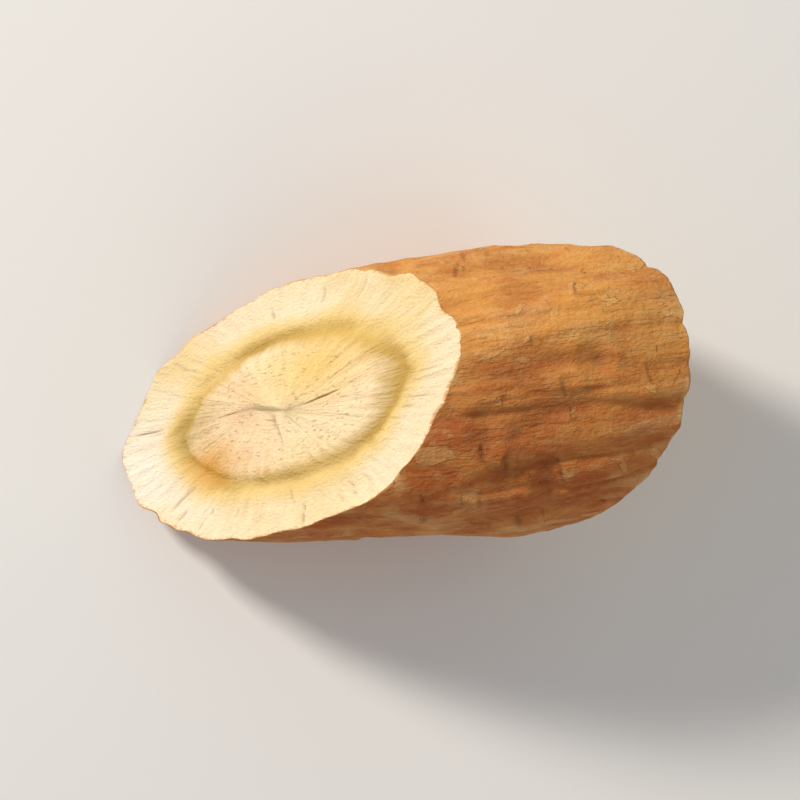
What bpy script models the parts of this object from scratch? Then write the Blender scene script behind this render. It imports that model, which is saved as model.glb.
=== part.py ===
"""A cut piece of dried astragalus root, lying on its side.

The root is one solid. It swells a little towards its middle, was cut on a slant at both ends, and its
bark has dried into long shallow furrows with a few short scars where rootlets stood. Both cut faces
show the outer band, the sunken ring and the rayed core as low relief. The underside has a narrow flat
strip that the piece rests on.
"""

import math

import bmesh
import bpy
from mathutils import Vector

# Sizes are in millimetres and angles in degrees. X runs along the root, Y across it and Z up.
MM = 0.001
ROOT_WIDTH = 6.84
ROOT_HEIGHT = 6.72
BOW_ACROSS = 0.16

# The underside is level and pressed flat by this much. It is smoother there, and arches a little, so the
# flat is widest near both ends and the piece stands firmly on them.
FLAT_DEPTH = 0.20
FLAT_SMOOTHING = 0.85
FLAT_HALF_ANGLE = 24.0
ARCH_HEIGHT = 0.11
ARCH_AT = 0.7
ARCH_REACH = 2.6

# The root is thickest this far along from the middle of the near cut, and slims towards both cuts.
SWELL_AT = 5.2
NEAR_REACH = 9.5
NEAR_SLIMMING = 0.19
FAR_REACH = 4.7
FAR_SLIMMING = 0.12

# The near cut is one plane, given by how far it leans along X for each millimetre of Y and of Z.
NEAR_LEAN_Y = 0.54
NEAR_LEAN_Z = 1.25

# The far cut leans the same way above, and is squarer below, where the last of the root snapped off.
AXIS_LENGTH = 6.50
FAR_LEAN_Y = 0.20
FAR_LEAN_ABOVE = 1.20
FAR_LEAN_BELOW = 0.35
FAR_TURN_SOFTNESS = 0.6

# Bark: broad lobes, and narrow furrows that run along the root and wander as they go. Each row holds
# the number round the root, the depth, how far they wander and the starting angle.
LOBES = ((2, 0.050, 0.3, 40.0), (3, 0.045, 0.5, 200.0), (5, 0.040, 0.8, 75.0))
FURROWS = ((7, 0.095, 0.9, 180.0), (11, 0.085, 1.3, 240.0), (17, 0.060, 1.5, 290.0))
FURROW_SHARPNESS = 3
WANDER_RATE = 0.55
FURROW_FADES = ((4, 0.75, 300.0), (3, -1.10, 270.0))

# A broad, shallow flat on top beside the near cut, where the root was squeezed as it grew: its place and
# reach along the root, its direction and reach round it, and its depth.
SHOULDER_AT = 4.3
SHOULDER_REACH = 2.2
SHOULDER_TURN = 56.0
SHOULDER_HALF_ANGLE = 30.0
SHOULDER_DEPTH = 0.28

# Scars: the place along the root and round it, where 0 degrees is the +Y side and 90 is the top.
TOP_SCARS = ((7.5, 82.0), (6.15, 134.0), (4.7, 108.0))
SIDE_SCARS = ((2.9, 12.0), (5.9, 355.0), (1.9, 178.0), (5.3, 196.0))
UNDER_SCARS = ((-0.6, 212.0), (3.2, 236.0), (1.1, 318.0), (3.7, 302.0))
SCAR_ACROSS = 0.52
SCAR_ALONG = 0.32
SCAR_DEPTH = 0.10
SCAR_LIP = 0.035

# Cut faces: places are shares of the radius, depths are measured along the root.
RING_AT = 0.59
RING_WIDTH = 0.055
RING_DEPTH = 0.16
BAND_SAG = 0.10
CORE_RISE = 0.08
CORE_RAYS = 19
RAY_DEPTH = 0.022
RAYS_AT = 0.38
RAYS_REACH = 0.16
RIM_ROUNDING = 0.09
RIM_SHARE = 0.982

# How finely the surface is divided.
SEGMENTS_ROUND = 96
NEAR_RINGS = 15
BARK_RINGS = 28
FAR_RINGS = 12

BARK_COLOUR = (0.52, 0.29, 0.12, 1.0)
CUT_COLOUR = (0.86, 0.74, 0.46, 1.0)
RING_COLOUR = (0.50, 0.36, 0.12, 1.0)


def clear_scene():
    for old in list(bpy.data.objects):
        bpy.data.objects.remove(old, do_unlink=True)


def bell(distance):
    return math.exp(-distance * distance)


def girth(along):
    """Share of the full girth that the root has at this place."""
    if along < SWELL_AT:
        return 1.0 - NEAR_SLIMMING * ((SWELL_AT - along) / NEAR_REACH) ** 1.3
    return 1.0 - FAR_SLIMMING * ((along - SWELL_AT) / FAR_REACH) ** 2


def scar_relief(angle, along):
    """A short hollow lying across the root, inside a low raised lip."""
    total = 0.0
    for place, around in TOP_SCARS + SIDE_SCARS + UNDER_SCARS:
        turn = math.remainder(angle - math.radians(around), 2 * math.pi)
        across = turn * ROOT_WIDTH / 2 / SCAR_ACROSS
        away = math.hypot(across, (along - place) / SCAR_ALONG)
        total += SCAR_LIP * bell((away - 1.6) / 0.6) - SCAR_DEPTH * bell(away)
    return total


def shoulder(angle, along):
    """Depth of the flat beside the near cut."""
    turn = math.remainder(angle - math.radians(SHOULDER_TURN), 2 * math.pi)
    across = bell(turn / math.radians(SHOULDER_HALF_ANGLE))
    return SHOULDER_DEPTH * across * bell((along - SHOULDER_AT) / SHOULDER_REACH)


def bark_relief(angle, along):
    """How far the bark stands out from its mean girth here, in millimetres."""
    fade = 1.0
    for count, drift, start in FURROW_FADES:
        fade *= 0.7 + 0.3 * math.cos(count * angle + drift * along + math.radians(start))
    relief = scar_relief(angle, along) - shoulder(angle, along)
    for count, depth, wander, start in LOBES:
        relief += depth * math.cos(wandering(count, wander, start, angle, along))
    for count, depth, wander, start in FURROWS:
        wave = 0.5 + 0.5 * math.cos(wandering(count, wander, start, angle, along))
        relief -= depth * fade * wave ** FURROW_SHARPNESS
    below = math.remainder(angle + math.pi / 2, 2 * math.pi)
    return relief * (1.0 - FLAT_SMOOTHING * bell(below / math.radians(FLAT_HALF_ANGLE)))


def wandering(count, wander, start, angle, along):
    """Phase of lines that run along the root, this many round it, swaying from side to side."""
    start = math.radians(start)
    return count * angle + start + wander * math.sin(WANDER_RATE * along + 2.0 * start)


def middle(along):
    """Middle of the root's section: it bows a little across, and its underside arches a little."""
    across = -BOW_ACROSS * (1.0 + math.cos(math.pi * (along - 3.0) / 9.0)) / 2
    arch = ARCH_HEIGHT * bell((along - ARCH_AT) / ARCH_REACH)
    return across, ROOT_HEIGHT / 2 * girth(along) - FLAT_DEPTH + arch


def section_point(angle, along, share=1.0):
    """Point at this share of the radius: the outline is cut off flat at the resting surface, and its
    furrows die out towards the middle of the root."""
    middle_y, middle_z = middle(along)
    relief = bark_relief(angle, along) * share ** 2
    y = (ROOT_WIDTH / 2 * girth(along) + relief) * math.cos(angle)
    z = (ROOT_HEIGHT / 2 * girth(along) + relief) * math.sin(angle)
    z = max(z, -middle_z)
    return middle_y + share * y, middle_z + share * z


MIDDLE_HEIGHT = middle(0.0)[1]


def near_cut(y, z):
    return NEAR_LEAN_Y * y + NEAR_LEAN_Z * (z - MIDDLE_HEIGHT)


def far_cut(y, z):
    height = z - MIDDLE_HEIGHT
    bend = FAR_TURN_SOFTNESS * math.log1p(math.exp(height / FAR_TURN_SOFTNESS))
    lean = FAR_LEAN_BELOW * height + (FAR_LEAN_ABOVE - FAR_LEAN_BELOW) * bend
    return AXIS_LENGTH + FAR_LEAN_Y * y + lean


def cut_relief(angle, share):
    """Height of a cut face over its plane: a domed, rayed core, a sunken ring and a sagging band."""
    core = CORE_RISE * (1.0 - (share / RING_AT) ** 2) if share < RING_AT else 0.0
    band = -BAND_SAG * math.sin(math.pi * (share - RING_AT) / (1.0 - RING_AT)) if share > RING_AT else 0.0
    ring = -RING_DEPTH * bell((share - RING_AT) / RING_WIDTH)
    rays = RAY_DEPTH * math.cos(CORE_RAYS * angle) * bell((share - RAYS_AT) / RAYS_REACH)
    return core + band + ring + rays


def rim_place(cut, angle, start):
    """How far along the root its bark meets a cut, found by stepping to and fro between the two."""
    along = start
    for _ in range(40):
        along = 0.5 * along + 0.5 * cut(*section_point(angle, along))
    return along


def cut_point(cut, outward, angle, rim, share):
    """Point on a cut face: the outline at the rim, drawn in towards the middle of the face."""
    y, z = section_point(angle, rim, share)
    return Vector((cut(y, z) + outward * cut_relief(angle, share), y, z))


def skin_point(ring, angle, near_rim, far_rim):
    """Point of the surface: the rings pass over the near cut, along the bark and over the far cut."""
    if ring <= NEAR_RINGS:
        return cut_point(near_cut, -1.0, angle, near_rim, RIM_SHARE * ring / NEAR_RINGS)
    last_bark = NEAR_RINGS + BARK_RINGS
    if ring >= last_bark:
        share = RIM_SHARE * (last_bark + FAR_RINGS - ring) / FAR_RINGS
        return cut_point(far_cut, 1.0, angle, far_rim, share)
    step = (ring - NEAR_RINGS - 1) / (BARK_RINGS - 2)
    along = near_rim + RIM_ROUNDING + step * (far_rim - near_rim - 2 * RIM_ROUNDING)
    return Vector((along, *section_point(angle, along)))


def material(name, colour, roughness):
    made = bpy.data.materials.new(name)
    made.use_nodes = True
    surface = made.node_tree.nodes["Principled BSDF"]
    surface.inputs["Base Color"].default_value = colour
    surface.inputs["Roughness"].default_value = roughness
    surface.inputs["Metallic"].default_value = 0.0
    made.diffuse_color = colour
    return made


def root_mesh():
    """A sphere whose rings are laid over the piece, from the middle of one cut to that of the other."""
    all_rings = NEAR_RINGS + BARK_RINGS + FAR_RINGS
    rims = []
    for segment in range(SEGMENTS_ROUND):
        angle = 2 * math.pi * segment / SEGMENTS_ROUND
        rims.append((rim_place(near_cut, angle, 0.0), rim_place(far_cut, angle, AXIS_LENGTH)))
    bm = bmesh.new()
    bmesh.ops.create_uvsphere(bm, u_segments=SEGMENTS_ROUND, v_segments=all_rings, radius=1.0)
    ring_of = {}
    for vert in bm.verts:
        ring = round(math.acos(max(-1.0, min(1.0, vert.co.z))) / math.pi * all_rings)
        angle = math.atan2(vert.co.y, vert.co.x)
        segment = round(angle / (2 * math.pi) * SEGMENTS_ROUND) % SEGMENTS_ROUND
        ring_of[vert] = ring
        vert.co = skin_point(ring, angle, *rims[segment]) * MM
    for face in bm.faces:
        ring = sum(ring_of[vert] for vert in face.verts) / len(face.verts)
        face.material_index = surface_of(ring)
    centre_on_box(bm)
    bmesh.ops.recalc_face_normals(bm, faces=bm.faces)
    mesh = bpy.data.meshes.new("root_piece")
    bm.to_mesh(mesh)
    bm.free()
    return mesh


def surface_of(ring):
    """Which material a ring of faces has: 0 for bark, 1 for the cut root, 2 for the dark ring in it."""
    if NEAR_RINGS < ring < NEAR_RINGS + BARK_RINGS:
        return 0
    if ring < NEAR_RINGS:
        share = RIM_SHARE * ring / NEAR_RINGS
    else:
        share = RIM_SHARE * (NEAR_RINGS + BARK_RINGS + FAR_RINGS - ring) / FAR_RINGS
    return 2 if abs(share - RING_AT) < RING_WIDTH else 1


def centre_on_box(bm):
    """Move the piece so that the middle of its box stands over the origin, on the resting surface."""
    lowest = [min(vert.co[axis] for vert in bm.verts) for axis in range(3)]
    highest = [max(vert.co[axis] for vert in bm.verts) for axis in range(3)]
    middle_of_box = Vector(((lowest[0] + highest[0]) / 2, (lowest[1] + highest[1]) / 2, lowest[2]))
    bmesh.ops.translate(bm, verts=bm.verts, vec=-middle_of_box)


def build():
    clear_scene()
    collection = bpy.data.collections.new("cut_astragalus_root")
    bpy.context.scene.collection.children.link(collection)
    mesh = root_mesh()
    mesh.materials.append(material("dried bark", BARK_COLOUR, 0.75))
    mesh.materials.append(material("cut root", CUT_COLOUR, 0.80))
    mesh.materials.append(material("growth ring", RING_COLOUR, 0.80))
    mesh.shade_smooth()
    mesh.set_sharp_from_angle(angle=math.radians(50.0))
    piece = bpy.data.objects.new("root_piece", mesh)
    collection.objects.link(piece)


build()
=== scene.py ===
"""Looks of one cut piece of dried astragalus root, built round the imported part.

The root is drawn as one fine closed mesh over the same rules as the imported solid: a slightly bowed root
with furrowed bark, a slanting knife cut at the near end, and a far cut that is snapped off below. Fine
wrinkles, lenticels, rays, drying cracks and torn fibres are in the mesh, and the colours of bark, outer
band, growth ring and core come from procedural materials laid out in the root's own millimetres.
"""

import itertools
import math

import bmesh
import bpy
import numpy as np
from mathutils import Matrix, Vector


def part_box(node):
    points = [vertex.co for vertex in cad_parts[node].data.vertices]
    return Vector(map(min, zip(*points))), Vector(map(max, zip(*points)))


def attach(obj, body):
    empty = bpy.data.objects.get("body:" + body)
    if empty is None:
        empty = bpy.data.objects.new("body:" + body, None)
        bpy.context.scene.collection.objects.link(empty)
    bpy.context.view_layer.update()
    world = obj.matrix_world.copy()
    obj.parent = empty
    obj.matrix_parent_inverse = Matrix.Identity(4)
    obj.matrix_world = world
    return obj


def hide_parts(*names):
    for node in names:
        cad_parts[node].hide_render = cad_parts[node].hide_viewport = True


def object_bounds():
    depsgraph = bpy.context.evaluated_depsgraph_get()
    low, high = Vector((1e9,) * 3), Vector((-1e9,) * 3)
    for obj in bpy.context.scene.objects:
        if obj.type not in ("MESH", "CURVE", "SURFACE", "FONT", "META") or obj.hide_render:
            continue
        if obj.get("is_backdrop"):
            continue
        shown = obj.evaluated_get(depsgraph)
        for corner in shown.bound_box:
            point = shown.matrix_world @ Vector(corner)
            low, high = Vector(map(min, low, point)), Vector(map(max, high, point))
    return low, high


bl_info = {
    "name": "Cut Astragalus Root",
    "version": (1, 0, 0),
    "blender": (4, 5, 0),
    "location": "View3D > Sidebar > Root",
    "description": "Builds a cut piece of dried astragalus root and a plain studio for it",
    "category": "Object",
}

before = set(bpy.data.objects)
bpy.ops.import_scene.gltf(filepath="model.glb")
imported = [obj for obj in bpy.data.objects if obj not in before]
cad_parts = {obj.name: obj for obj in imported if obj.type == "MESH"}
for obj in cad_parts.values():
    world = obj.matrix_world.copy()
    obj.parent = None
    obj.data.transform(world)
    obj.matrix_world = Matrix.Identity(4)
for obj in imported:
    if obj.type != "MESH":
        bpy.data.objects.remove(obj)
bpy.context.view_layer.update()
MM = 0.001

# The root's form, in millimetres and degrees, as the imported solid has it. Angles run round the root from
# its +Y side, with 90 degrees on top, and "along" is counted from the middle of the near cut.
ROOT_WIDTH = 6.84
ROOT_HEIGHT = 6.72
MEAN_RADIUS = (ROOT_WIDTH + ROOT_HEIGHT) / 4
BOW_ACROSS = 0.16

# The underside: how deep it is pressed flat, how much smoother it is there and how far round, its arch.
FLAT_DEPTH = 0.20
FLAT_SMOOTHING = 0.85
FLAT_HALF_ANGLE = 24.0
ARCH_HEIGHT = 0.11
ARCH_AT = 0.7
ARCH_REACH = 2.6

# The root is thickest at the swell, and slims towards both cuts.
SWELL_AT = 5.2
NEAR_REACH = 9.5
NEAR_SLIMMING = 0.19
FAR_REACH = 4.7
FAR_SLIMMING = 0.12

# The near cut is one plane. The far one leans the same way above, and is squarer below, where it snapped.
NEAR_LEAN_Y = 0.54
NEAR_LEAN_Z = 1.25
AXIS_LENGTH = 6.50
FAR_LEAN_Y = 0.20
FAR_LEAN_ABOVE = 1.20
FAR_LEAN_BELOW = 0.35
FAR_TURN_SOFTNESS = 0.6

# Lobes and furrows: the number round the root, the depth, how far they wander and the starting angle.
LOBES = ((2, 0.050, 0.3, 40.0), (3, 0.045, 0.5, 200.0), (5, 0.040, 0.8, 75.0))
FURROWS = ((7, 0.095, 0.9, 180.0), (11, 0.085, 1.3, 240.0), (17, 0.060, 1.5, 290.0))
FURROW_SHARPNESS = 3
WANDER_RATE = 0.55
FURROW_FADES = ((4, 0.75, 300.0), (3, -1.10, 270.0))

# A broad, shallow flat on top beside the near cut, where the root was squeezed as it grew.
SHOULDER_AT = 4.3
SHOULDER_REACH = 2.2
SHOULDER_TURN = 56.0
SHOULDER_HALF_ANGLE = 30.0
SHOULDER_DEPTH = 0.28

# Rootlet scars: the place along the root and the direction round it.
TOP_SCARS = ((7.5, 82.0), (6.15, 134.0), (4.7, 108.0))
SIDE_SCARS = ((2.9, 12.0), (5.9, 355.0), (1.9, 178.0), (5.3, 196.0))
UNDER_SCARS = ((-0.6, 212.0), (3.2, 236.0), (1.1, 318.0), (3.7, 302.0))
SCAR_ACROSS = 0.52
SCAR_ALONG = 0.32
SCAR_DEPTH = 0.10
SCAR_LIP = 0.035

# Cut faces: places are shares of the radius, depths are measured along the root.
RING_AT = 0.59
RING_WIDTH = 0.055
RING_DEPTH = 0.16
BAND_SAG = 0.10
CORE_RISE = 0.08
CORE_RAYS = 19
RAY_DEPTH = 0.022
RAYS_AT = 0.38
RAYS_REACH = 0.16
RIM_ROUNDING = 0.09

# How finely the mesh is divided: quads round the root, and rings over each cut, each rim and the bark.
# The bark's material starts some rings past the rim's first one.
SEGMENTS_ROUND = 440
ANGLES = 2 * np.pi * np.arange(SEGMENTS_ROUND) / SEGMENTS_ROUND
NEAR_RINGS = 44
RIM_RINGS = 4
BARK_RINGS = 132
FAR_RINGS = 34
BARK_STARTS = 2

# Fine bark relief: each row holds the length along the root, the width round it, the depth and the seed
# of one set of creases, from the broad shrinkage wrinkles to the finest.
CREASES = ((4.6, 1.05, 0.240, 560), (2.4, 0.50, 0.130, 154), (1.1, 0.24, 0.040, 37))
CROSS_CREASES = (0.36, 1.10, 0.022, 41)
LUMPS = (1.5, 0.9, 0.045, 53)
GRAIN = (0.17, 0.10, 0.008, 67)

# How wide a crease is, as a share of the noise that it follows, and the mean of all creases, which is
# given back so that the root keeps its girth.
CREASE_WIDTH = 0.32
CREASE_MEAN = 0.36

# What sways the creases from side to side, and the patches where they are deepest: sizes in millimetres.
CREASE_SWAY = 0.30
SWAY_SIZE = 2.3
PATCH_SIZE = (3.1, 1.9, 1.9)

# Painted shade in the hollows: how dark a hollow is painted for each millimetre of its depth, and what
# is left out as no hollow at all.
FURROW_DARKNESS = 3.2
CREASE_DARKNESS = 3.4
CROSS_DARKNESS = 8.0
HOLLOW_SHADE_START = 0.15

# Browner patches in the bark, partly real stains and partly painted shade on the half of the top that
# faces -Y, away from the key light: place along the root, direction round it, half length, half width
# and strength. The browner side is painted shade with a brown tint: it has a direction and a reach in
# degrees, and a strength.
STAINS_AND_SHADE = (
    (5.57, 88.0, 1.10, 0.60, 0.62),
    (6.90, 103.0, 0.90, 0.60, 0.50),
    (5.05, 114.0, 0.90, 0.40, 0.85),
    (8.60, 109.0, 0.90, 0.50, 0.75),
    (7.20, 143.0, 1.00, 0.60, 0.90),
    (3.30, 126.0, 0.80, 0.55, 0.95),
    (3.90, 106.0, 0.80, 0.50, 0.98),
    (7.75, 80.0, 0.55, 0.10, 0.75),
    (7.43, 93.0, 0.40, 0.09, 0.85),
)
BROWN_SHADED_SIDE = (140.0, 46.0, 0.95)

# Lenticels: corky warts that lie across the root, each with a slit. They start and end this far along
# it, at its lowest and its highest. Half sizes in millimetres.
LENTICEL_REACH = ((-3.65, 4.15), (4.95, 9.85))
LENTICEL_WIDTHS = (0.13, 0.40)
LENTICEL_HEIGHTS = (0.050, 0.085)
LENTICEL_LIP = 0.022
LENTICEL_SLIT = 0.045

# Drying cracks in a cut face: clefts in the outer band, and checks in the core. Starts and lengths are
# shares of the radius.
BAND_CLEFTS = 26
CORE_CHECKS = 5
CLEFT_LENGTHS = (0.06, 0.26)
CHECK_STARTS = (0.02, 0.10)
CHECK_LENGTHS = (0.12, 0.32)
CLEFT_HALF_WIDTHS = (0.010, 0.026)
CLEFT_DEPTH = 0.10
CRACK_WANDER = 0.07
WANDER_SIZE = 0.42

# What the blade left on a cut: ridges across it, rays, crumbs and broad swells.
KNIFE_MARKS_APART = 0.46
KNIFE_MARK_DEPTH = 0.012
KNIFE_WAY = (0.83, 0.56)
RAYS_ROUND = (16.0, 41.0)
RAY_RELIEF = 0.020
CRUMB_SIZE = 0.16
CRUMB_RELIEF = 0.011
SWELL_SIZE = 1.4
SWELL_RELIEF = 0.030

# The snapped part of the far cut: where it ends, how far its edge strays, and its stepped roughness.
SNAP_ENDS = (-1.15, -0.25)
SNAP_STRAY = 0.35
SNAP_ROUGHNESS = 0.38
SNAP_STEPS = 2.5

# How deep the rims are chipped.
CHIP_DEPTH = 0.08

# Torn fibres: their radius, the part of the turn that they stand in, and their places from the middle
# outward, as shares of the face.
FIBRE_RADIUS = 0.022
FIBRE_ARC = (0.545, 0.955)
FIBRE_SHARES = (0.30, 0.93)
FIBRE_POINTS = 5

# Depths of the materials' bump, in millimetres.
BARK_BUMP = 0.022
CUT_BUMP = 0.016
FIBRE_BUMP = 0.004

# Tints on a cut face: the place on the section and the reach, in millimetres, and where all are full.
TINTS = {
    "amber": ((0.0, -1.50, -0.75), 0.90),
    "yellow": ((0.0, 1.05, 0.25), 1.30),
    "deep": ((0.0, -0.50, -1.80), 1.10),
    "faint": ((0.0, -1.60, 1.20), 1.10),
    # Painted highlight: the band is laid whiter towards its lower, -Y rim.
    "bloom_highlight": ((0.0, -1.80, -2.60), 2.60),
}
TINT_FULL = 0.15

# The studio, in metres, but for the camera's sensor, in millimetres. Each light has a name, its direction
# from the piece, its distance, its size and its colour.
LIGHTS = (
    ("soft key", Vector((-0.58, 0.60, 0.50)), 0.16, 0.028, (1.0, 0.955, 0.89)),
    ("soft fill", Vector((0.7, -0.5, 0.55)), 0.18, 0.12, (1.0, 0.95, 0.88)),
)
SKY_COLOUR = (0.93, 0.95, 1.0, 1.0)
FLOOR_HALF_WIDTH = 0.6
CAMERA_DISTANCE = 0.14
SENSOR_WIDTH = 36.0

# Kinds of node that the materials use many times.
MATH = "ShaderNodeMath"
VECTOR = "ShaderNodeVectorMath"
RANGE = "ShaderNodeMapRange"
STORED = "ShaderNodeAttribute"

# The places of the root's materials on its mesh.
BARK_SLOT = 0
CUT_SLOT = 1
FIBRE_SLOT = 2


def linear(code):
    """Linear RGBA of an sRGB hex colour."""
    parts = [int(code[place:place + 2], 16) / 255 for place in (1, 3, 5)]
    parts = [part / 12.92 if part <= 0.04045 else ((part + 0.055) / 1.055) ** 2.4 for part in parts]
    return (*parts, 1.0)


class RootShapeSettings(bpy.types.PropertyGroup):
    """Sizes of the fine relief on the root."""

    crease_share: bpy.props.FloatProperty(
        name="Crease Depth",
        description="Depth of the bark's fine wrinkles, as a share of the usual one",
        default=1.0,
        min=0.0,
        max=2.0,
        subtype="FACTOR",
    )
    lenticel_count: bpy.props.IntProperty(
        name="Lenticels",
        description="How many corky warts lie across the bark",
        default=42,
        min=0,
        max=200,
    )
    fibre_count: bpy.props.IntProperty(
        name="Torn Fibres",
        description="How many torn fibres stand out of the snapped part of the far cut",
        default=70,
        min=0,
        max=120,
    )
    fibre_length: bpy.props.FloatProperty(
        name="Fibre Length",
        description="Length of the longest torn fibre",
        default=0.00075,
        min=0.0001,
        max=0.002,
        precision=5,
        unit="LENGTH",
    )


def colour_property(name, description, code):
    """A colour that the panel shows, with its default given as sRGB hex."""
    return bpy.props.FloatVectorProperty(
        name=name, description=description, subtype="COLOR", size=4, min=0.0, max=1.0, default=linear(code)
    )


class RootColourSettings(bpy.types.PropertyGroup):
    """Colours of the dried root."""

    bark: colour_property("Bark", "Golden tan of the dried cork", "#E09A48")
    # Also the colour of the painted shade on the browner side and in some stains.
    bark_brown: colour_property("Bark Patches", "Browner patches of cork", "#AE531B")
    # Painted shade: laid into the furrows, creases and cut-face cracks by their depth; also the colour of
    # the bark's dark threads.
    bark_furrow_shade: colour_property("Furrows", "Dark of the furrows and wrinkles", "#853F17")
    bark_worn: colour_property("Worn Cork", "Pale rubbed crests and edges", "#E9BB75")
    lenticel: colour_property("Lenticels", "Corky warts and rootlet scars", "#563018")
    band: colour_property("Outer Band", "Cream of the starchy inner bark", "#F8E4BF")
    # Painted highlight: whiter cream laid on the band towards its lower, -Y rim.
    band_highlight: colour_property("Chalky Band", "Whiter, more starchy part of the band", "#FDF1E0")
    band_inner: colour_property("Inner Band", "Yellower cream next to the ring", "#F0CF88")
    ring: colour_property("Growth Ring", "Olive ochre of the cambium ring", "#C09A4C")
    ring_deep: colour_property("Deep Ring", "Deeper olive where the ring is widest", "#A8883A")
    core: colour_property("Core", "Pale straw of the woody core", "#FBE2B6")
    core_blush: colour_property("Core Blush", "Peach patches in the core", "#F9CDA4")
    core_amber: colour_property("Core Amber", "Amber stain beside the ring", "#DA9838")
    core_yellow: colour_property("Core Yellow", "Yellower patch in the core", "#F4CB6C")
    fibre: colour_property("Torn Fibre", "Pale torn bast fibre", "#F0E0BA")


class RootStudioSettings(bpy.types.PropertyGroup):
    """The plain studio round the piece."""

    floor_colour: colour_property("Floor", "Plain pale floor", "#F3F0EB")
    key_power: bpy.props.FloatProperty(
        name="Key Light", description="Power of the soft key light", default=0.218, min=0.0, unit="POWER"
    )
    fill_power: bpy.props.FloatProperty(
        name="Fill Light", description="Power of the soft fill light", default=0.045, min=0.0, unit="POWER"
    )
    sky_strength: bpy.props.FloatProperty(
        name="Sky", description="Strength of the even light from all round", default=0.36, min=0.0
    )
    camera_roll: bpy.props.FloatProperty(
        name="Camera Roll",
        description="How far the root's length points up from level in the picture",
        default=math.radians(5.0),
        subtype="ANGLE",
    )
    picture_share: bpy.props.FloatProperty(
        name="Share of Picture",
        description="Share of the picture's width that the piece's length takes",
        default=0.72,
        min=0.1,
        max=1.0,
        subtype="FACTOR",
    )


def bell(distance):
    return np.exp(-distance * distance)


def smooth_step(value, start, end):
    """0 before start, 1 after end, with a smooth rise between them."""
    share = np.clip((value - start) / (end - start), 0.0, 1.0)
    return share * share * (3.0 - 2.0 * share)


def turn_from(angle, degrees):
    """Turn in radians from a direction given in degrees, between minus and plus half a circle."""
    return np.remainder(angle - np.radians(degrees) + np.pi, 2 * np.pi) - np.pi


def lattice_values(cells, seed):
    """A repeatable random number between -1 and 1 for each whole-number cell."""
    keys = cells[..., 0] * 73856093 ^ cells[..., 1] * 19349663 ^ cells[..., 2] * 83492791 ^ seed * 51151
    keys = (keys ^ (keys >> 13)) * 1274126177 & 0xFFFFFFFF
    keys = (keys ^ (keys >> 16)) * 2246822519 & 0xFFFFFFFF
    return (keys ^ (keys >> 15)) / 0x7FFFFFFF - 1.0


def soft_noise(points, seed):
    """Smooth random field, about one swell for each unit of length, mostly between -1 and 1."""
    base = np.floor(points).astype(np.int64)
    part = points - base
    fade = part * part * (3.0 - 2.0 * part)
    total = np.zeros(points.shape[:-1])
    for corner in itertools.product((0, 1), repeat=3):
        weights = np.where(np.array(corner) == 1, fade, 1.0 - fade).prod(axis=-1)
        total += weights * lattice_values(base + np.array(corner), seed)
    return total


def bark_place(angle, along):
    """Place on the unrolled bark in millimetres, with no seam where the angle starts again."""
    return np.stack((along, MEAN_RADIUS * np.cos(angle), MEAN_RADIUS * np.sin(angle)), axis=-1)


def girth(along):
    """Share of the full girth that the root has at this place."""
    before = np.maximum(SWELL_AT - along, 0.0) / NEAR_REACH
    after = np.maximum(along - SWELL_AT, 0.0) / FAR_REACH
    return 1.0 - NEAR_SLIMMING * before ** 1.3 - FAR_SLIMMING * after ** 2


def wandering(count, wander, start, angle, along):
    """Phase of lines that run along the root, this many round it, swaying from side to side."""
    start = math.radians(start)
    return count * angle + start + wander * np.sin(WANDER_RATE * along + 2.0 * start)


def furrows(angle, along):
    """Depth of the broad furrows that run along the root."""
    fade = 1.0
    for count, drift, start in FURROW_FADES:
        fade = fade * (0.7 + 0.3 * np.cos(count * angle + drift * along + math.radians(start)))
    depth = 0.0
    for count, most, wander, start in FURROWS:
        wave = 0.5 + 0.5 * np.cos(wandering(count, wander, start, angle, along))
        depth = depth + most * fade * wave ** FURROW_SHARPNESS
    return depth


def lobes(angle, along):
    """Relief of the broad lobes that run along the root."""
    relief = 0.0
    for count, depth, wander, start in LOBES:
        relief = relief + depth * np.cos(wandering(count, wander, start, angle, along))
    return relief


def rootlet_scars(angle, along):
    """Relief of the short hollows where rootlets stood, and how strongly each place is marked by one."""
    relief, mark = 0.0, 0.0
    ragged = soft_noise(bark_place(angle, along) / 0.14, 43)
    for place, around in TOP_SCARS + SIDE_SCARS + UNDER_SCARS:
        across = turn_from(angle, around) * ROOT_WIDTH / 2 / SCAR_ACROSS
        away = np.hypot(across, (along - place) / SCAR_ALONG)
        relief = relief + SCAR_LIP * bell((away - 1.6) / 0.6) - SCAR_DEPTH * bell(away)
        mark = np.maximum(mark, bell((away + 0.35 * ragged) / 0.42))
    return relief, mark


def shoulder(angle, along):
    """Depth of the broad flat on top, beside the near cut."""
    across = bell(turn_from(angle, SHOULDER_TURN) / math.radians(SHOULDER_HALF_ANGLE))
    return SHOULDER_DEPTH * across * bell((along - SHOULDER_AT) / SHOULDER_REACH)


def flat_smoothing(angle):
    """Share of the relief that the pressed underside keeps."""
    below = turn_from(angle, -90.0)
    return 1.0 - FLAT_SMOOTHING * bell(below / math.radians(FLAT_HALF_ANGLE))


def creases(place, length, width, seed):
    """1 along the bottom of fine wrinkles of this length and width, falling to 0 on the folds between."""
    stretched = place / np.array((length, width, width))
    return 1.0 / (1.0 + (np.abs(soft_noise(stretched, seed)) / CREASE_WIDTH) ** 1.5)


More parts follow.
